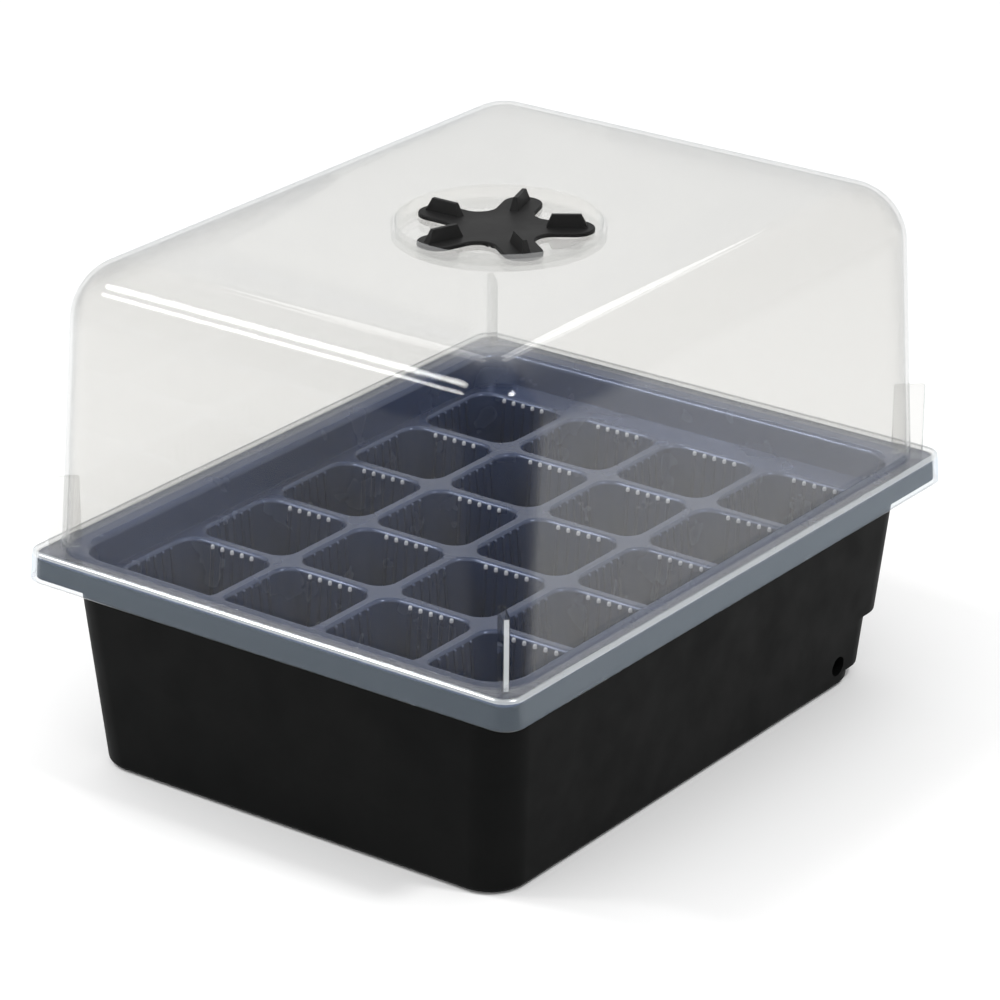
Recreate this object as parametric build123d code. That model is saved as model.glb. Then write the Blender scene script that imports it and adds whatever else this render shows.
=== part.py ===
"""Humidity dome tray: base tray, cell tray, clear dome and vent dial.

Millimetres, +Z up, +Y along the long side. The origin is on the table,
under the middle of the base. Every node is modelled in its closed place.
"""
from build123d import *
import math
import os

# Overall heights, from the table up
Z_RIM = 58.2          # top of the dome's flange
Z_ROOF = 131.9        # flat roof of the dome
SKIRT_H = 7.8         # depth of the dome's skirt
FLANGE_T = 1.2
LIP_T = 1.2           # lip of the cell tray, between the flange and the base
Z_CELL_LIP = Z_RIM - FLANGE_T
Z_BASE_LIP = Z_CELL_LIP - LIP_T
Z_SKIRT = Z_RIM - SKIRT_H

# Base tray
BASE_W, BASE_L, BASE_R = 125.0, 168.0, 10.3     # outline at the floor
BASE_SLOPE = 0.0833                             # outward draft, mm per mm
BASE_WALL, BASE_FLOOR = 1.2, 1.5
BASE_FOOT_R = 1.8
BASE_LIP_W, BASE_LIP_L, BASE_LIP_R = 143.4, 187.4, 3.9
BASE_LIP_T, BASE_LIP_DROP = 1.3, 4.8
BASE_LIP_FLARE, BASE_LIP_EDGE_R = 0.35, 0.6
REAR_STEPS = ((16.8, 5.0), (3.6, 9.6))          # top of step, inset of the end wall
PORT_Y, PORT_Z, PORT_R = 62.6, 6.2, 2.7         # blind round port in each side
PORT_DEPTH, PORT_WALL = 2.6, 1.0

# Cell tray
COLUMNS, ROWS, PITCH = 4, 5, 30.8
CELL_TOP, CELL_TOP_R = 27.4, 4.6
CELL_FOOT, CELL_FOOT_R = 21.0, 4.0
Z_DECK, Z_CELL_FLOOR = 49.1, 12.6
CELL_WALL, DECK_T = 0.8, 1.0
CELL_EDGE_R = 1.1
CUP_SINK = 0.2        # the cup's wall stops this far under the deck
DRAIN_R = 2.5
CELL_LIP_W, CELL_LIP_L, CELL_LIP_R = 143.0, 187.0, 3.9
WELL_TOP_W, WELL_TOP_L = 129.0, 172.0
WELL_DECK_W, WELL_DECK_L, WELL_R = 125.8, 168.8, 9.0
WELL_WALL = 1.0
WELL_EDGE_R = 1.8     # shoulder between the lip and the well

# Dome
FLANGE_W, FLANGE_L, FLANGE_R = 146.0, 190.0, 5.3
FLANGE_EDGE_R = 0.9
SKIRT_FLARE = 0.5
DOME_T = 1.0
DOME_FOOT_W, DOME_FOOT_L, DOME_FOOT_R = 138.8, 182.8, 10.5
DOME_TOP_W, DOME_TOP_L, DOME_TOP_R = 135.4, 179.4, 15.6
ROOF_EDGE_R = 15.0
FIN_T, FIN_H, FIN_L = 1.8, 18.5, 8.0
FIN_INSET = 4.4       # outer edge of a fin, in from both sides of the flange
FIN_SINK = 0.4        # overlap of a fin with the flange below it
RECESS_R, RECESS_DEPTH, RECESS_EDGE_R = 25.4, 3.2, 0.5
Z_RECESS = Z_ROOF - RECESS_DEPTH
SLOTS, SLOT_RADIUS, SLOT_L, SLOT_W = 5, 16.4, 8.4, 5.4

# Vent dial
DIAL_ANGLE = 36.0     # direction of the first arm
ARM_REACH, ARM_W = 23.4, 10.0
HUB_R, HUB_BLEND_R = 11.8, 4.5
PLATE_T, PLATE_GAP, PLATE_EDGE_R = 1.0, 0.25, 0.35
GRIP_FOOT, GRIP_TOP = (11.4, 21.7), (12.8, 20.0)     # radial start and end
GRIP_H, GRIP_FOOT_T, GRIP_TOP_T = 3.2, 2.2, 1.0
GRIP_SINK = 0.2       # overlap of a grip with the plate
PIN_BORE_R, PIN_R = 4.0, 3.7
BARB_R, BARB_FOOT_R, BARB_T, BARB_GAP = 5.4, 3.9, 1.9, 0.3
PIN_SLOT_W = 1.0
PIN_HEAD = 0.3        # solid stem left under the plate, above the slots
PIN_SINK = 0.5        # overlap of the stem with the plate

ON_BASE = (Align.CENTER, Align.CENTER, Align.MIN)


def slab(width, length, radius, z0, z1):
    """Upright rounded rectangle between two heights."""
    outline = Location((0, 0, z0)) * RectangleRounded(width, length, radius)
    return extrude(outline, z1 - z0)


def taper(low, high):
    """Loft between two rounded rectangles, each (width, length, radius, z)."""
    faces = [
        Location((0, 0, z)) * RectangleRounded(width, length, radius)
        for width, length, radius, z in (low, high)
    ]
    return loft(faces, ruled=True)


def square_taper(low, high):
    """Taper with equal sides; each end is (side, radius, z)."""
    return taper((low[0], *low), (high[0], *high))


def disc(radius, z0, z1):
    """Upright cylinder between two heights."""
    return Location((0, 0, z0)) * Cylinder(radius, z1 - z0, align=ON_BASE)


def edges_at(shape, z, tolerance=0.01):
    """Edges that lie in the level plane at height z."""
    return [
        edge for edge in shape.edges()
        if abs(edge.bounding_box().min.Z - z) < tolerance
        and abs(edge.bounding_box().max.Z - z) < tolerance
    ]


def edges_within(shape, z, width, length):
    """Level edges at height z whose middles lie inside a centred rectangle."""
    return [
        edge for edge in edges_at(shape, z)
        if abs(edge.center().X) < width / 2 and abs(edge.center().Y) < length / 2
    ]


def inset_above(step_top):
    """Inset of the rear end wall just above a step."""
    higher = [inset for z, inset in REAR_STEPS if z > step_top]
    return max(higher, default=0)


def base_block(z0, z1, inset, wall):
    """One drafted storey of the base; inset pulls in its rear end wall."""
    ends = []
    for z in (z0, z1):
        grow = 2 * BASE_SLOPE * z - 2 * wall
        ends.append((BASE_W + grow, BASE_L - inset + grow, BASE_R - wall, z))
    return Location((0, -inset / 2, 0)) * taper(*ends)


def base_body(top, wall=0, floor=0):
    """The tray's outer block, or its inside when wall and floor are given."""
    body = base_block(floor, top, REAR_STEPS[-1][1], wall)
    for step_top, _ in REAR_STEPS:
        body += base_block(step_top + wall, top, inset_above(step_top), wall)
    return body


def base_lip():
    """Outward lip with a short flared skirt."""
    z_foot = Z_BASE_LIP - BASE_LIP_DROP
    flare = BASE_LIP_FLARE
    lip = taper(
        (BASE_LIP_W + 2 * flare, BASE_LIP_L + 2 * flare, BASE_LIP_R + flare, z_foot),
        (BASE_LIP_W, BASE_LIP_L, BASE_LIP_R, Z_BASE_LIP),
    )
    lip = fillet(edges_at(lip, Z_BASE_LIP), BASE_LIP_EDGE_R)
    return lip - slab(BASE_LIP_W - 2 * BASE_WALL, BASE_LIP_L - 2 * BASE_WALL,
                      BASE_LIP_R - BASE_WALL, z_foot, Z_BASE_LIP - BASE_LIP_T)


def port(side, radius, depth, proud):
    """Level cylinder at the port's place, from outside the wall inwards."""
    wall_x = BASE_W / 2 + BASE_SLOPE * PORT_Z
    middle = side * (wall_x + (proud - depth) / 2)
    return Location((middle, PORT_Y, PORT_Z), (0, 90, 0)) * Cylinder(radius, depth + proud)


def make_base_tray():
    outer = base_body(Z_BASE_LIP)
    outer = fillet(edges_at(outer, 0), BASE_FOOT_R)
    tray = outer + base_lip()
    tray -= base_body(Z_BASE_LIP + 1, BASE_WALL, BASE_FLOOR)
    for side in (-1, 1):
        tray += port(side, PORT_R + PORT_WALL, PORT_DEPTH + PORT_WALL, 0) & outer
        tray -= port(side, PORT_R, PORT_DEPTH, PORT_WALL)
    return tray


def cell_places():
    """Centre of every cell."""
    return [
        Location(((i - (COLUMNS - 1) / 2) * PITCH, (j - (ROWS - 1) / 2) * PITCH, 0))
        for i in range(COLUMNS) for j in range(ROWS)
    ]


def cell_cup():
    """Outside of one cell."""
    return square_taper(
        (CELL_FOOT + 2 * CELL_WALL, CELL_FOOT_R + CELL_WALL, Z_CELL_FLOOR - CELL_WALL),
        (CELL_TOP + 2 * CELL_WALL, CELL_TOP_R + CELL_WALL, Z_DECK - CUP_SINK),
    )


def cell_hollow():
    """Inside of one cell, carried on a little above the deck."""
    widen = (CELL_TOP - CELL_FOOT) / (Z_DECK - Z_CELL_FLOOR)
    inside = square_taper((CELL_FOOT, CELL_FOOT_R, Z_CELL_FLOOR),
                          (CELL_TOP, CELL_TOP_R, Z_DECK))
    mouth = square_taper((CELL_TOP, CELL_TOP_R, Z_DECK),
                         (CELL_TOP + widen, CELL_TOP_R, Z_DECK + 1))
    return inside, mouth


def make_cell_tray():
    lip = slab(CELL_LIP_W, CELL_LIP_L, CELL_LIP_R, Z_BASE_LIP, Z_CELL_LIP)
    well = taper(
        (WELL_DECK_W + 2 * WELL_WALL, WELL_DECK_L + 2 * WELL_WALL,
         WELL_R + WELL_WALL, Z_DECK - DECK_T),
        (WELL_TOP_W + 2 * WELL_WALL, WELL_TOP_L + 2 * WELL_WALL,
         WELL_R + WELL_WALL, Z_BASE_LIP),
    )
    tray = lip + well
    tray -= taper(
        (WELL_DECK_W, WELL_DECK_L, WELL_R, Z_DECK),
        (WELL_TOP_W, WELL_TOP_L, WELL_R, Z_CELL_LIP),
    )
    shoulder = edges_within(tray, Z_CELL_LIP, WELL_TOP_W + 1, WELL_TOP_L + 1)
    tray = fillet(shoulder, WELL_EDGE_R)
    places = cell_places()
    tray += [place * cell_cup() for place in places]
    for hollow in cell_hollow():
        tray -= [place * hollow for place in places]
    tray = fillet(edges_within(tray, Z_DECK, COLUMNS * PITCH, ROWS * PITCH), CELL_EDGE_R)
    drain = disc(DRAIN_R, Z_CELL_FLOOR - 2 * CELL_WALL, Z_CELL_FLOOR + CELL_WALL)
    return tray - [place * drain for place in places]


def dome_shell(inset):
    """Closed block of the dome above the flange, shrunk by inset."""
    block = taper(
        (DOME_FOOT_W - 2 * inset, DOME_FOOT_L - 2 * inset,
         DOME_FOOT_R - inset, Z_RIM),
        (DOME_TOP_W - 2 * inset, DOME_TOP_L - 2 * inset,
         DOME_TOP_R - inset, Z_ROOF - inset),
    )
    return fillet(edges_at(block, Z_ROOF - inset), ROOF_EDGE_R - inset)


def corner_fins():
    """Thin upright gussets standing on the flange across its corners."""
    height = FIN_H + FIN_SINK
    fin = Location((-FIN_L / 2, 0, Z_RIM - FIN_SINK + height / 2)) * Box(FIN_L, FIN_T, height)
    fins = []
    for side_x in (-1, 1):
        for side_y in (-1, 1):
            corner_x = side_x * (FLANGE_W / 2 - FIN_INSET)
            corner_y = side_y * (FLANGE_L / 2 - FIN_INSET)
            angle = math.degrees(math.atan2(side_y, side_x))
            fins.append(Location((corner_x, corner_y, 0), (0, 0, angle)) * fin)
    return fins


def dome_skirt():
    """Flange with the flared skirt that hangs over both trays' lips."""
    flare = SKIRT_FLARE
    skirt = taper(
        (FLANGE_W + 2 * flare, FLANGE_L + 2 * flare, FLANGE_R + flare, Z_SKIRT),
        (FLANGE_W, FLANGE_L, FLANGE_R, Z_RIM),
    )
    skirt = fillet(edges_at(skirt, Z_RIM), FLANGE_EDGE_R)
    hollow = flare - DOME_T
    return skirt - taper(
        (FLANGE_W + 2 * hollow, FLANGE_L + 2 * hollow, FLANGE_R + hollow, Z_SKIRT),
        (FLANGE_W - 2 * DOME_T, FLANGE_L - 2 * DOME_T, FLANGE_R - DOME_T, Z_CELL_LIP),
    )


def make_dome():
    dome = dome_shell(0) + corner_fins() + dome_skirt()
    pan = disc(RECESS_R + DOME_T, Z_RECESS - DOME_T, Z_ROOF)
    dome -= dome_shell(DOME_T) - pan
    dome -= slab(DOME_FOOT_W - 2 * DOME_T, DOME_FOOT_L - 2 * DOME_T,
                 DOME_FOOT_R - DOME_T, Z_CELL_LIP, Z_RIM)
    dome -= disc(RECESS_R, Z_RECESS, Z_ROOF + 1)
    recess_edge = [
        edge for edge in edges_at(dome, Z_ROOF)
        if edge.geom_type == GeomType.CIRCLE and abs(edge.radius - RECESS_R) < 0.01
    ]
    dome = fillet(recess_edge, RECESS_EDGE_R)
    dome -= disc(PIN_BORE_R, Z_RECESS - 2 * DOME_T, Z_RECESS + DOME_T)
    for turn in dial_turns():
        spot = turn * Location((SLOT_RADIUS, 0, Z_RECESS - 2 * DOME_T))
        dome -= extrude(spot * SlotOverall(SLOT_L, SLOT_W), 3 * DOME_T)
    return dome


def dial_turns():
    """Rotation about the dial's axis for every arm and vent slot."""
    return [Location((0, 0, 0), (0, 0, DIAL_ANGLE + k * 360 / SLOTS)) for k in range(SLOTS)]


def grip(z0):
    """Raised wedge along one arm, drawn along +X."""
    ends = []
    for (start, stop), thickness, z in ((GRIP_FOOT, GRIP_FOOT_T, z0),
                                        (GRIP_TOP, GRIP_TOP_T, z0 + GRIP_H + GRIP_SINK)):
        middle = (start + stop) / 2
        ends.append(Location((middle, 0, z)) * Rectangle(stop - start, thickness))
    return loft(ends, ruled=True)


def dial_plate(z_plate):
    """Five-armed star with blended notches."""
    outline = Circle(HUB_R)
    for turn in dial_turns():
        outline += turn * Location((ARM_REACH / 2, 0)) * SlotOverall(ARM_REACH, ARM_W)
    notches = [v for v in outline.vertices() if math.hypot(v.X, v.Y) < HUB_R + 0.1]
    outline = fillet(notches, HUB_BLEND_R)
    plate = Location((0, 0, z_plate)) * extrude(outline, PLATE_T)
    return fillet(edges_at(plate, z_plate + PLATE_T), PLATE_EDGE_R)


def snap_pin(z_plate):
    """Cross-slotted stem through the recess floor, with a barb below it."""
    z_barb = Z_RECESS - DOME_T - BARB_GAP
    z_foot = z_barb - BARB_T
    pin = disc(PIN_R, z_foot, z_plate + PIN_SINK)
    pin += Location((0, 0, z_foot)) * Cone(BARB_FOOT_R, BARB_R, BARB_T, align=ON_BASE)
    slot_h = z_plate - PIN_HEAD - z_foot
    for angle in (0, 90):
        slot = Box(4 * BARB_R, PIN_SLOT_W, slot_h, align=ON_BASE)
        pin -= Location((0, 0, z_foot), (0, 0, angle)) * slot
    return pin


def make_vent_dial():
    z_plate = Z_RECESS + PLATE_GAP
    dial = dial_plate(z_plate)
    for turn in dial_turns():
        dial += turn * grip(z_plate + PLATE_T - GRIP_SINK)
    return dial + snap_pin(z_plate)


if __name__ == "__main__":
    os.makedirs("parts", exist_ok=True)
    nodes = {
        "base_tray": make_base_tray,
        "cell_tray": make_cell_tray,
        "dome": make_dome,
        "vent_dial": make_vent_dial,
    }
    for name, make in nodes.items():
        solid = make()
        box = solid.bounding_box()
        print(name, "solids", len(solid.solids()), "volume", round(solid.volume, 1),
              "min", [round(v, 2) for v in box.min], "max", [round(v, 2) for v in box.max])
        export_step(solid, f"parts/{name}.step")
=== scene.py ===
import math

import bmesh
import bpy
from mathutils import Matrix, Vector


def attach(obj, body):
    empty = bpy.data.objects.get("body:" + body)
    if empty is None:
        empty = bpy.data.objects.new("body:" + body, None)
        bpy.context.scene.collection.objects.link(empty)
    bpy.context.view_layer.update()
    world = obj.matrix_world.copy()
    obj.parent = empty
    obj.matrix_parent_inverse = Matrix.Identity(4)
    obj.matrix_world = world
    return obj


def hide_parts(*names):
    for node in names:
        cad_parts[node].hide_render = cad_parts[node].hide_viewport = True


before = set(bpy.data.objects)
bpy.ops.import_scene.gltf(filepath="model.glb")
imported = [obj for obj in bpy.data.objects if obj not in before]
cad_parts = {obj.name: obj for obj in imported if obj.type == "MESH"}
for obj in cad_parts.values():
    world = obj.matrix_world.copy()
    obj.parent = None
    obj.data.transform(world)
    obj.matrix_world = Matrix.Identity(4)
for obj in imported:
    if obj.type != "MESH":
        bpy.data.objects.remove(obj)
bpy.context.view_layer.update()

# ---------------------------------------------------------------- sizes, metres

Z_RIM = 0.0582            # top of the dome's flange
CELL_PITCH = 0.0308
CELL_COLUMNS, CELL_ROWS = 4, 5
CELL_TOP, CELL_FOOT = 0.0274, 0.0210      # inside width at the deck and the floor
Z_DECK, Z_CELL_FLOOR = 0.0491, 0.0126

RIBS_PER_WALL, RIB_SPACING = 5, 0.0031
RIB_WIDTH, RIB_PROUD = 0.0012, 0.0007
RIB_DROP = 0.0006                         # rib tops start this far below the deck
RIB_SUNK = 0.0001                         # and are sunk this far into the wall
RIB_FOOT_GAP = 0.0006                     # between a rib's foot and the cell's floor
RIB_SIDES = 6
RIB_GLINT_BANDS = 3                         # bands of a rib, from the top, that take the painted glint's slot

# The dome, as in the CAD: (width, length, corner radius)
Z_ROOF, Z_SKIRT = 0.1319, 0.0504
Z_UNDER = 0.05705         # underside of the flange, just clear of the insert's lip
DOME_FOOT = (0.1388, 0.1828, 0.0105)
DOME_TOP = (0.1354, 0.1794, 0.0156)
FLANGE = (0.1460, 0.1900, 0.0053)
SKIRT_FLARE, DOME_WALL = 0.0005, 0.0010
ROOF_EDGE, FLANGE_EDGE, FOOT_BLEND, TRIM = 0.0150, 0.0010, 0.0002, 0.00035
RECESS_R, Z_RECESS, RECESS_EDGE = 0.0254, 0.1287, 0.0005
SLOT_COUNT, SLOT_TURN, SLOT_RADIUS = 5, math.radians(36), 0.0164
SLOT_LENGTH, SLOT_WIDTH, BORE_R = 0.0084, 0.0054, 0.0040
FIN_LENGTH, FIN_THICK, FIN_HEIGHT, FIN_INSET = 0.0080, 0.0018, 0.0185, 0.0044
CORNER_STEPS, BEND_STEPS = 12, 14         # quads round a corner and round the roof's edge
LIP_STEPS, HOLLOW_STEPS, FOOT_STEPS = 5, 4, 3
SLOT_STEPS, BORE_STEPS = 8, 32
FIN_BEVEL = 0.0003
SMALLEST_CORNER = 0.0003

WELD_DISTANCE = 0.000002  # joins the split vertices of the CAD meshes
SHARP_ANGLE = math.radians(30)
FACE_WEIGHT = 90          # of the weighted normals


# ---------------------------------------------------------------- materials

DRIFT_SCALE, GLOSS_SCALE, GRAIN_SCALE = 30, 90, 2600     # noise of the moulded plastics
GLOSS_SPREAD, GRAIN_STRENGTH = 0.06, 0.12
SHEET_GLOSS_SCALE, SHEET_WAVE_SCALE = 40, 14             # noise of the clear sheet
SHEET_WAVE_STRENGTH, SHEET_WAVE_DEPTH = 0.02, 0.0002
GLANCE_TINT = (0.80, 0.82, 0.84)          # a clear sheet's mirror at a glance
GLANCE_POWER = 3.6                        # how late the mirror sets in
WHITE = (1, 1, 1)


def new_material(name):
    material = bpy.data.materials.new(name)
    material.use_nodes = True
    nodes = material.node_tree.nodes
    nodes.clear()
    output = nodes.new("ShaderNodeOutputMaterial")
    shader = nodes.new("ShaderNodeBsdfPrincipled")
    material.node_tree.links.new(shader.outputs[0], output.inputs["Surface"])
    return material, shader, output


def noise(material, scale, detail=3.0):
    """Noise in object space, so that it holds still on the piece."""
    nodes, links = material.node_tree.nodes, material.node_tree.links
    place = nodes.new("ShaderNodeTexCoord")
    texture = nodes.new("ShaderNodeTexNoise")
    texture.inputs["Scale"].default_value = scale
    texture.inputs["Detail"].default_value = detail
    links.new(place.outputs["Object"], texture.inputs["Vector"])
    return texture.outputs["Fac"]


def spread(material, value, low, high):
    """Maps a 0.3 to 0.7 noise onto low to high."""
    nodes, links = material.node_tree.nodes, material.node_tree.links
    mapping = nodes.new("ShaderNodeMapRange")
    mapping.inputs["From Min"].default_value = 0.3
    mapping.inputs["From Max"].default_value = 0.7
    mapping.inputs["To Min"].default_value = low
    mapping.inputs["To Max"].default_value = high
    links.new(value, mapping.inputs["Value"])
    return mapping.outputs["Result"]


def bump(material, shader, value, strength, distance):
    nodes, links = material.node_tree.nodes, material.node_tree.links
    node = nodes.new("ShaderNodeBump")
    node.inputs["Strength"].default_value = strength
    node.inputs["Distance"].default_value = distance
    links.new(value, node.inputs["Height"])
    links.new(node.outputs["Normal"], shader.inputs["Normal"])


def tint(material, shader, value, dark, light):
    """Base colour that drifts between two close tones."""
    nodes, links = material.node_tree.nodes, material.node_tree.links
    ramp = nodes.new("ShaderNodeValToRGB")
    ramp.color_ramp.elements[0].position = 0.35
    ramp.color_ramp.elements[0].color = (*dark, 1)
    ramp.color_ramp.elements[1].position = 0.65
    ramp.color_ramp.elements[1].color = (*light, 1)
    links.new(value, ramp.inputs["Fac"])
    links.new(ramp.outputs["Color"], shader.inputs["Base Color"])


def moulded(name, dark, light, rough, specular, grain, sheen=WHITE):
    """Opaque moulded plastic: faint tone drift, uneven gloss and fine grain."""
    material, shader, _ = new_material(name)
    shader.inputs["Specular IOR Level"].default_value = specular
    shader.inputs["Specular Tint"].default_value = (*sheen, 1)
    tint(material, shader, noise(material, DRIFT_SCALE), dark, light)
    gloss = spread(material, noise(material, GLOSS_SCALE), rough - GLOSS_SPREAD, rough + GLOSS_SPREAD)
    material.node_tree.links.new(gloss, shader.inputs["Roughness"])
    bump(material, shader, noise(material, GRAIN_SCALE, 2), GRAIN_STRENGTH, grain)
    return material


def see_through(name, tone, rough, clear_tone, face_on, glancing):
    """Clear plastic: lets light through face on, mirrors more of it at a glance."""
    material, shader, output = new_material(name)
    nodes, links = material.node_tree.nodes, material.node_tree.links
    shader.inputs["Base Color"].default_value = (*tone, 1)
    shader.inputs["Metallic"].default_value = 1.0
    shader.inputs["Specular Tint"].default_value = (*GLANCE_TINT, 1)
    gloss = spread(material, noise(material, SHEET_GLOSS_SCALE), rough * 0.7, rough * 1.3)
    links.new(gloss, shader.inputs["Roughness"])
    clear = nodes.new("ShaderNodeBsdfTransparent")
    clear.inputs["Color"].default_value = (*clear_tone, 1)
    glance = nodes.new("ShaderNodeLayerWeight")
    glance.inputs["Blend"].default_value = 0.5
    steep = nodes.new("ShaderNodeMath")
    steep.operation = "POWER"
    steep.inputs[1].default_value = GLANCE_POWER
    links.new(glance.outputs["Facing"], steep.inputs[0])
    amount = nodes.new("ShaderNodeMapRange")
    amount.inputs["To Min"].default_value = face_on
    amount.inputs["To Max"].default_value = glancing
    links.new(steep.outputs[0], amount.inputs["Value"])
    mix = nodes.new("ShaderNodeMixShader")
    links.new(amount.outputs["Result"], mix.inputs["Fac"])
    links.new(clear.outputs[0], mix.inputs[1])
    links.new(shader.outputs[0], mix.inputs[2])
    links.new(mix.outputs[0], output.inputs["Surface"])
    bump(material, shader, noise(material, SHEET_WAVE_SCALE, 1), SHEET_WAVE_STRENGTH, SHEET_WAVE_DEPTH)
    return material


# name, dark and light tone, roughness, specular level, depth of the grain, sheen
base_black = moulded(
    "base_black", (0.0018, 0.0021, 0.0021), (0.0032, 0.0034, 0.0033), 0.55, 0.06, 0.00002)
insert_dark = moulded(
    "insert_dark", (0.014, 0.026, 0.070), (0.019, 0.033, 0.084), 0.24, 1.0, 0.000003,
    sheen=(0.62, 0.72, 1.0))
# pale rib tips: painted highlight that stands in for the glints on the rib tops
painted_glint_tips = moulded(
    "painted_glint_tips", (0.42, 0.44, 0.50), (0.52, 0.54, 0.60), 0.20, 0.80, 0.000003)
vent_black = moulded(
    "vent_black", (0.008, 0.008, 0.008), (0.012, 0.012, 0.012), 0.55, 0.12, 0.00005)

# name, tone of the mirror, its roughness, tone of what shows through it,
# share of the mirror face on and at a glance
dome_clear = see_through(
    "dome_clear", (0.97, 0.97, 0.96), 0.05, (0.908, 0.906, 0.899), 0.010, 0.90)
# painted glow: a pale, mostly opaque band that stands in for the light caught in the flange's rounded
# edge and the fins' outer ends
dome_painted_glow = see_through(
    "dome_painted_glow", (0.86, 0.89, 0.90), 0.25, (0.93, 0.94, 0.94), 0.48, 0.90)
dome_skirt = see_through(
    "dome_skirt", (0.68, 0.83, 1.0), 0.12, (0.93, 0.94, 0.95), 0.080, 0.70)
# painted highlight: a pale band on the skirt's rounded lower edge that stands in for its light line
dome_painted_trim_line = see_through(
    "dome_painted_trim_line", (0.84, 0.81, 0.78), 0.25, (0.95, 0.95, 0.95), 0.32, 0.75)
CLEAR, EDGE, SKIRT, PAINTED_TRIM_LINE = range(4)   # slots of the dome's pieces, in this order


def dress(node, material):
    """Gives a CAD node one material in every slot."""
    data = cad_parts[node].data
    data.materials.clear()
    data.materials.append(material)


dress("base_tray", base_black)
dress("cell_tray", insert_dark)
dress("vent_dial", vent_black)


# ---------------------------------------------------------------- shading of the CAD nodes

def smooth_by_angle():
    """Geometry nodes group that shades smooth, but keeps edges over SHARP_ANGLE sharp."""
    group = bpy.data.node_groups.new("smooth_by_angle", "GeometryNodeTree")
    group.interface.new_socket("Geometry", in_out="INPUT", socket_type="NodeSocketGeometry")
    group.interface.new_socket("Geometry", in_out="OUTPUT", socket_type="NodeSocketGeometry")
    nodes, links = group.nodes, group.links
    start, end = nodes.new("NodeGroupInput"), nodes.new("NodeGroupOutput")
    faces = nodes.new("GeometryNodeSetShadeSmooth")
    angle = nodes.new("GeometryNodeInputMeshEdgeAngle")
    below = nodes.new("FunctionNodeCompare")
    below.operation = "LESS_EQUAL"
    below.inputs["B"].default_value = SHARP_ANGLE
    edges = nodes.new("GeometryNodeSetShadeSmooth")
    edges.domain = "EDGE"
    links.new(start.outputs[0], faces.inputs["Geometry"])
    links.new(faces.outputs[0], edges.inputs["Geometry"])
    links.new(angle.outputs["Unsigned Angle"], below.inputs["A"])
    links.new(below.outputs["Result"], edges.inputs["Shade Smooth"])
    links.new(edges.outputs[0], end.inputs[0])
    return group


SMOOTH = smooth_by_angle()


def even_shading(piece):
    """Smooth, evenly lit faces. Only modifiers: the mesh itself stays as it is."""
    weld = piece.modifiers.new("weld", "WELD")
    weld.merge_threshold = WELD_DISTANCE
    smooth = piece.modifiers.new("smooth", "NODES")
    smooth.node_group = SMOOTH
    weighted = piece.modifiers.new("weighted", "WEIGHTED_NORMAL")
    weighted.keep_sharp = True
    weighted.weight = FACE_WEIGHT


for cad_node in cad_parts.values():
    even_shading(cad_node)


# ---------------------------------------------------------------- ribs in the cells

def add_piece(name, mesh, body, material):
    piece = bpy.data.objects.new(name, mesh)
    bpy.context.scene.collection.objects.link(piece)
    mesh.materials.append(material)
    for face in mesh.polygons:
        face.use_smooth = True
    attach(piece, body)
    return piece


def add_rib(shape, place, glint_slot):
    """A half-round rib down the wall at +Y of a cell, turned and moved by place.

    Each step is the drop below the rib's top and how far the rib has swollen there.
    """
    half_top, half_foot = CELL_TOP / 2, CELL_FOOT / 2
    depth = Z_DECK - Z_CELL_FLOOR
    rings = []
    foot_drop = depth - RIB_DROP - RIB_FOOT_GAP
    steps = ((0.0, 0.2), (0.0002, 0.7), (0.0005, 1.0), (0.0010, 0.9), (foot_drop, 0.6))
    for drop, swell in steps:
        z = Z_DECK - RIB_DROP - drop
        share = (z - Z_CELL_FLOOR) / depth
        wall = half_foot + (half_top - half_foot) * share + RIB_SUNK
        ring = []
        for k in range(RIB_SIDES + 1):
            turn = math.pi * k / RIB_SIDES
            across = -math.cos(turn) * RIB_WIDTH / 2 * (0.5 + swell / 2)
            proud = math.sin(turn) * RIB_PROUD * swell
            ring.append(shape.verts.new(place @ Vector((across, wall - proud, z))))
        rings.append(ring)
    for level, (upper, lower) in enumerate(zip(rings, rings[1:])):
        for k in range(RIB_SIDES + 1):
            after = (k + 1) % (RIB_SIDES + 1)
            face = shape.faces.new((upper[k], upper[after], lower[after], lower[k]))
            # the top bands take the painted glint, a pale colour put on as the rib tip's highlight
            face.material_index = glint_slot if level < RIB_GLINT_BANDS else 0
    shape.faces.new(rings[0]).material_index = glint_slot
    shape.faces.new(list(reversed(rings[-1])))


def cell_ribs():
    """Ribs down all four walls of each cell, with pale tips painted on as highlights on the walls at
    +Y.
    """
    shape = bmesh.new()
    for column in range(CELL_COLUMNS):
        for row in range(CELL_ROWS):
            x = (column - (CELL_COLUMNS - 1) / 2) * CELL_PITCH
            y = (row - (CELL_ROWS - 1) / 2) * CELL_PITCH
            for quarter in range(4):
                turn = Matrix.Rotation(math.pi / 2 * quarter, 4, "Z")
                for k in range(RIBS_PER_WALL):
                    along = (k - (RIBS_PER_WALL - 1) / 2) * RIB_SPACING
                    place = Matrix.Translation((x, y, 0)) @ turn @ Matrix.Translation((along, 0, 0))
                    # only the walls at +Y, which face the lights, get the painted glint
                    add_rib(shape, place, 1 if quarter == 0 else 0)
    bmesh.ops.recalc_face_normals(shape, faces=shape.faces)
    mesh = bpy.data.meshes.new("cell_ribs")
    shape.to_mesh(mesh)
    shape.free()
    return mesh


ribs = add_piece("cell_ribs", cell_ribs(), "cells", insert_dark)
# second slot: the painted glint on the rib tips
ribs.data.materials.append(painted_glint_tips)


# ---------------------------------------------------------------- the dome's smooth skin

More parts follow.
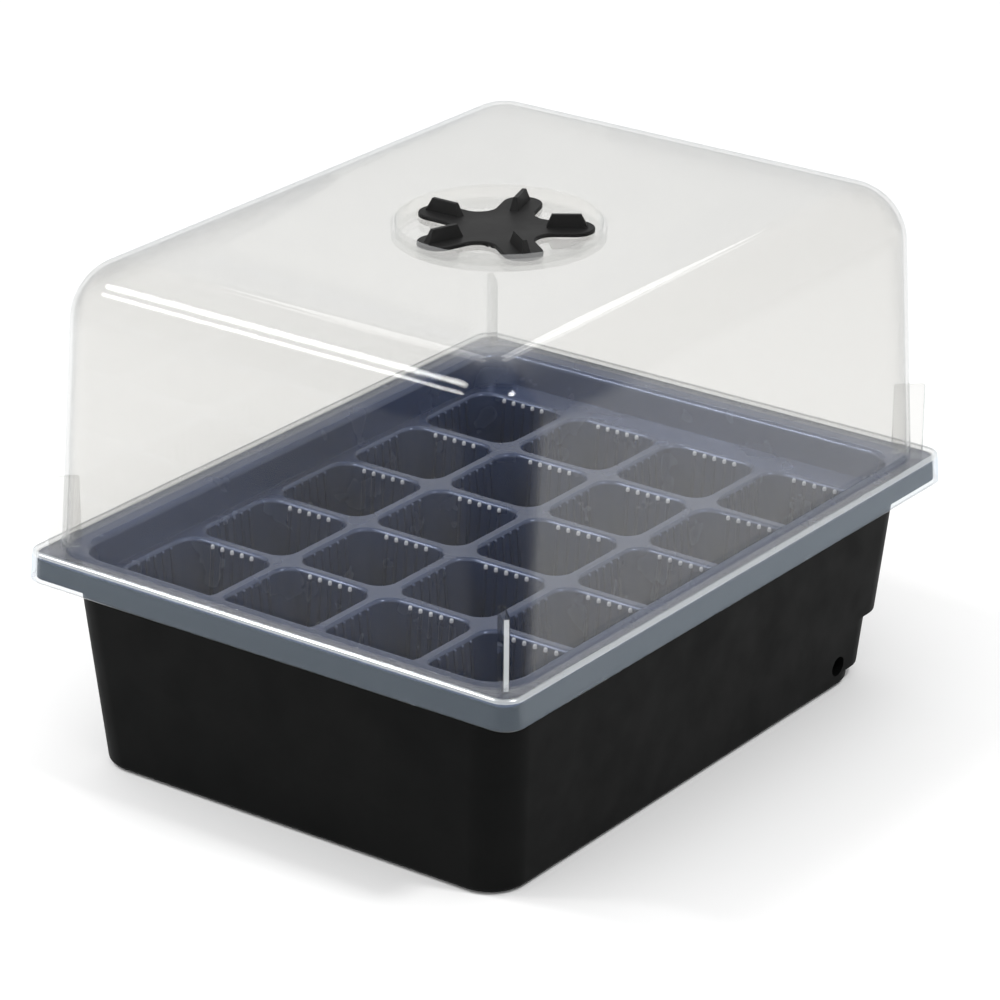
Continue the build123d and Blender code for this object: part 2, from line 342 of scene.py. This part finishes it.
def rounded_ring(shape, size, z):
    """Vertices round a rounded rectangle (width, length, radius) at height z."""
    width, length, radius = size
    ring = []
    for corner, (side_x, side_y) in enumerate(((1, 1), (-1, 1), (-1, -1), (1, -1))):
        centre_x, centre_y = side_x * (width / 2 - radius), side_y * (length / 2 - radius)
        for k in range(CORNER_STEPS + 1):
            turn = math.pi / 2 * (corner + k / CORNER_STEPS)
            ring.append(shape.verts.new((centre_x + radius * math.cos(turn),
                                         centre_y + radius * math.sin(turn), z)))
    return ring


def round_ring(shape, radius, z):
    """Circle with as many vertices as a rounded ring."""
    count = 4 * (CORNER_STEPS + 1)
    ring = []
    for k in range(count):
        turn = 2 * math.pi * (k + 0.5) / count
        ring.append(shape.verts.new((radius * math.cos(turn), radius * math.sin(turn), z)))
    return ring


def join_rings(shape, rings, slot=CLEAR):
    """Quads between each ring and the next."""
    for ring, following in zip(rings, rings[1:]):
        for k in range(len(ring)):
            after = (k + 1) % len(ring)
            face = shape.faces.new((ring[k], ring[after], following[after], following[k]))
            face.material_index = slot


def grown(size, by):
    """The same rounded rectangle with every side moved out."""
    width, length, radius = size
    return (width + 2 * by, length + 2 * by, max(radius + by, SMALLEST_CORNER))


def wall_size(z):
    """Outside of the drafted wall at height z."""
    share = (z - Z_RIM) / (Z_ROOF - Z_RIM)
    return tuple(foot + (top - foot) * share for foot, top in zip(DOME_FOOT, DOME_TOP))


def dome_rings(shape, inset):
    """Rings from the wall's foot up and round the roof's edge."""
    roof, bend = Z_ROOF - inset, ROOF_EDGE - inset
    rings = []
    for k in range(BEND_STEPS + 1):
        turn = math.pi / 2 * k / BEND_STEPS
        z = roof - bend + bend * math.sin(turn)
        size = grown(wall_size(z), -inset - bend * (1 - math.cos(turn)))
        rings.append(rounded_ring(shape, size, z))
    return rings


def slot_loop(turn):
    """Outline of one vent slot, as x and y."""
    reach = (SLOT_LENGTH - SLOT_WIDTH) / 2
    points = []
    for end in (1, -1):
        for k in range(SLOT_STEPS + 1):
            angle = math.pi * (k / SLOT_STEPS - 0.5) + (0 if end > 0 else math.pi)
            x = SLOT_RADIUS + end * reach + SLOT_WIDTH / 2 * math.cos(angle)
            y = SLOT_WIDTH / 2 * math.sin(angle)
            points.append((x * math.cos(turn) - y * math.sin(turn),
                           x * math.sin(turn) + y * math.cos(turn)))
    return points


def recess_floor(shape, rim_top, rim_foot):
    """Recess floor with the pin's bore and the vent slots cut through it."""
    holes = [slot_loop(SLOT_TURN + 2 * math.pi * k / SLOT_COUNT) for k in range(SLOT_COUNT)]
    bore = [2 * math.pi * k / BORE_STEPS for k in range(BORE_STEPS)]
    holes.append([(BORE_R * math.cos(turn), BORE_R * math.sin(turn)) for turn in bore])
    walls = []
    for rim, z in ((rim_top, Z_RECESS), (rim_foot, Z_RECESS - DOME_WALL)):
        loops = [[shape.verts.new((x, y, z)) for x, y in hole] for hole in holes]
        edges = []
        for loop in [rim] + loops:
            for k in range(len(loop)):
                pair = (loop[k], loop[(k + 1) % len(loop)])
                edges.append(shape.edges.get(pair) or shape.edges.new(pair))
        bmesh.ops.triangle_fill(shape, use_beauty=True, use_dissolve=False, edges=edges)
        walls.append(loops)
    for upper, lower in zip(*walls):
        join_rings(shape, [upper, lower])


def dome_skin():
    """The whole dome as one closed sheet, with the CAD dome's sizes."""
    shape = bmesh.new()
    outer, inner = dome_rings(shape, 0), dome_rings(shape, DOME_WALL)

    # roof, down into the recess
    mouth = []
    for k in range(HOLLOW_STEPS + 1):
        turn = math.pi / 2 * k / HOLLOW_STEPS
        mouth.append(round_ring(shape, RECESS_R + RECESS_EDGE * (1 - math.sin(turn)),
                                Z_ROOF - RECESS_EDGE * (1 - math.cos(turn))))
    rim_top = round_ring(shape, RECESS_R, Z_RECESS)
    join_rings(shape, outer + mouth + [rim_top])
    under = round_ring(shape, RECESS_R + DOME_WALL, Z_ROOF - DOME_WALL)
    rim_foot = round_ring(shape, RECESS_R + DOME_WALL, Z_RECESS - DOME_WALL)
    join_rings(shape, inner + [under, rim_foot])
    recess_floor(shape, rim_top, rim_foot)

    # wall foot, blended into the flange
    foot = []
    for k in range(FOOT_STEPS + 1):
        turn = math.pi / 2 * k / FOOT_STEPS
        out = FOOT_BLEND * (1 - math.cos(turn))
        z = Z_RIM + FOOT_BLEND * (1 - math.sin(turn))
        foot.append(rounded_ring(shape, grown(wall_size(Z_RIM + FOOT_BLEND), out), z))
    shelf = rounded_ring(shape, grown(FLANGE, -FLANGE_EDGE), Z_RIM)
    join_rings(shape, [outer[0]] + foot + [shelf])

    # rounded outer edge of the flange, and the skirt's trimmed lower edge, both with painted light
    # lines
    edge = [shelf]
    for k in range(1, LIP_STEPS + 1):
        turn = math.pi / 2 * k / LIP_STEPS
        edge.append(rounded_ring(shape, grown(FLANGE, -FLANGE_EDGE * (1 - math.sin(turn))),
                                 Z_RIM - FLANGE_EDGE * (1 - math.cos(turn))))
    # the flange's rounded edge takes the painted glow
    join_rings(shape, edge, EDGE)
    skirt = grown(FLANGE, SKIRT_FLARE)
    trim = [rounded_ring(shape, skirt, Z_SKIRT + TRIM),
            rounded_ring(shape, grown(skirt, -TRIM), Z_SKIRT),
            rounded_ring(shape, grown(skirt, -DOME_WALL), Z_SKIRT)]
    join_rings(shape, [edge[-1], trim[0]], SKIRT)
    # the skirt's lower edge takes the painted highlight line
    join_rings(shape, trim, PAINTED_TRIM_LINE)
    throat = grown(DOME_FOOT, -DOME_WALL)
    join_rings(shape, [trim[-1],
                       rounded_ring(shape, grown(FLANGE, -DOME_WALL), Z_UNDER),
                       rounded_ring(shape, throat, Z_UNDER),
                       rounded_ring(shape, throat, Z_RIM),
                       inner[0]])
    bmesh.ops.recalc_face_normals(shape, faces=shape.faces)
    mesh = bpy.data.meshes.new("dome_skin")
    shape.to_mesh(mesh)
    shape.free()
    return mesh


def dome_fins():
    """Four upright gussets; all but the rear left one have a painted glow on the outer end."""
    shape = bmesh.new()
    for side_x in (-1, 1):
        for side_y in (-1, 1):
            turn = Matrix.Rotation(math.atan2(side_y, side_x), 4, "Z")
            place = (Matrix.Translation((side_x * (FLANGE[0] / 2 - FIN_INSET),
                                         side_y * (FLANGE[1] / 2 - FIN_INSET), Z_RIM))
                     @ turn
                     @ Matrix.Translation((-FIN_LENGTH / 2, 0, FIN_HEIGHT / 2))
                     @ Matrix.Diagonal((FIN_LENGTH, FIN_THICK, FIN_HEIGHT, 1)))
            outward = turn @ Vector((1, 0, 0))
            made = bmesh.ops.create_cube(shape, size=1, matrix=place)
            for face in {near for vert in made["verts"] for near in vert.link_faces}:
                face.normal_update()
                # painted glow on the outer end faces; the rear left fin has none
                painted_glow_face = face.normal.dot(outward) > 0.9 and (side_x, side_y) != (-1, 1)
                face.material_index = EDGE if painted_glow_face else CLEAR
    bmesh.ops.bevel(shape, geom=shape.edges[:], offset=FIN_BEVEL, segments=2, affect="EDGES")
    mesh = bpy.data.meshes.new("dome_fins")
    shape.to_mesh(mesh)
    shape.free()
    return mesh


skin = add_piece("dome_skin", dome_skin(), "cover", dome_clear)
for band in (dome_painted_glow, dome_skirt, dome_painted_trim_line):
    skin.data.materials.append(band)
fins = add_piece("dome_fins", dome_fins(), "cover", dome_clear)
fins.data.materials.append(dome_painted_glow)
for dome_piece in (skin, fins):
    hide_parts("dome")
    even_shading(dome_piece)


# ---------------------------------------------------------------- floor, light and camera

FLOOR_SIZE, FLOOR_GAP = 6, 0.0003
FLOOR_TONE = (0.88, 0.88, 0.88)


def make_floor():
    bpy.ops.mesh.primitive_plane_add(size=FLOOR_SIZE, location=(0, 0, -FLOOR_GAP))
    floor = bpy.context.object
    floor.name = "floor"
    material, shader, _ = new_material("floor_pale")
    shader.inputs["Base Color"].default_value = (*FLOOR_TONE, 1)
    shader.inputs["Roughness"].default_value = 0.9
    shader.inputs["Specular IOR Level"].default_value = 0.1
    floor.data.materials.append(material)


def add_softbox(name, size, place, aim, power):
    light = bpy.data.lights.new(name, "AREA")
    light.shape = "RECTANGLE"
    light.size, light.size_y = size
    light.energy = power
    lamp = bpy.data.objects.new(name, light)
    bpy.context.scene.collection.objects.link(lamp)
    lamp.location = place
    lamp.rotation_euler = (Vector(aim) - Vector(place)).to_track_quat("-Z", "Y").to_euler()


def make_world(strength):
    world = bpy.data.worlds.new("studio")
    bpy.context.scene.world = world
    world.use_nodes = True
    background = world.node_tree.nodes["Background"]
    background.inputs["Color"].default_value = (*WHITE, 1)
    background.inputs["Strength"].default_value = strength


CAMERA_AZIMUTH, CAMERA_ELEVATION, CAMERA_ROLL = 35.92, 22.88, 0.42
CAMERA_DISTANCE, CAMERA_LENS, SENSOR_WIDTH = 1.118, 161.4, 36
AIM_RIGHT, AIM_UP = 0.0007, -0.0005       # from the middle of the flange's top


def make_camera():
    turn, lift = math.radians(CAMERA_AZIMUTH), math.radians(CAMERA_ELEVATION)
    back = Vector((math.sin(turn) * math.cos(lift),
                   -math.cos(turn) * math.cos(lift),
                   math.sin(lift)))
    right = Vector((math.cos(turn), math.sin(turn), 0))
    up = back.cross(right)
    roll = math.radians(CAMERA_ROLL)
    across = right * math.cos(roll) + up * math.sin(roll)
    upward = up * math.cos(roll) - right * math.sin(roll)
    place = Vector((0, 0, Z_RIM)) + across * AIM_RIGHT + upward * AIM_UP + back * CAMERA_DISTANCE
    camera = bpy.data.objects.new("camera", bpy.data.cameras.new("camera"))
    bpy.context.scene.collection.objects.link(camera)
    camera.data.lens = CAMERA_LENS
    camera.data.sensor_width = SENSOR_WIDTH
    camera.data.clip_start = 0.01
    camera.matrix_world = Matrix((
        (across.x, upward.x, back.x, place.x),
        (across.y, upward.y, back.y, place.y),
        (across.z, upward.z, back.z, place.z),
        (0, 0, 0, 1)))
    bpy.context.scene.camera = camera


make_floor()
make_world(1.0)
# The windows give the two light lines along the roof's front edge, the key the one at the side.
# name, width and height, place, what it faces, watts
WINDOW_AIM = (-0.407, -0.086, 0.127)
for softbox in (
        ("window_high", (0.22, 0.085), (-0.407, -0.29, 0.656), WINDOW_AIM, 1.7),
        ("window_low", (0.22, 0.055), (-0.407, -0.44, 0.575), WINDOW_AIM, 1.1),
        ("key", (0.10, 0.10), (0.491, -0.036, 0.741), (0.062, -0.080, 0.127), 2.2),
        ("back_right", (0.12, 0.12), (-0.244, 0.597, 0.571), (0.055, 0, 0.130), 0.08),
        ("back_left", (0.12, 0.12), (-0.432, 0.379, 0.627), (0, -0.075, 0.130), 0.065)):
    add_softbox(*softbox)
make_camera()
bpy.context.scene.view_settings.view_transform = "Standard"
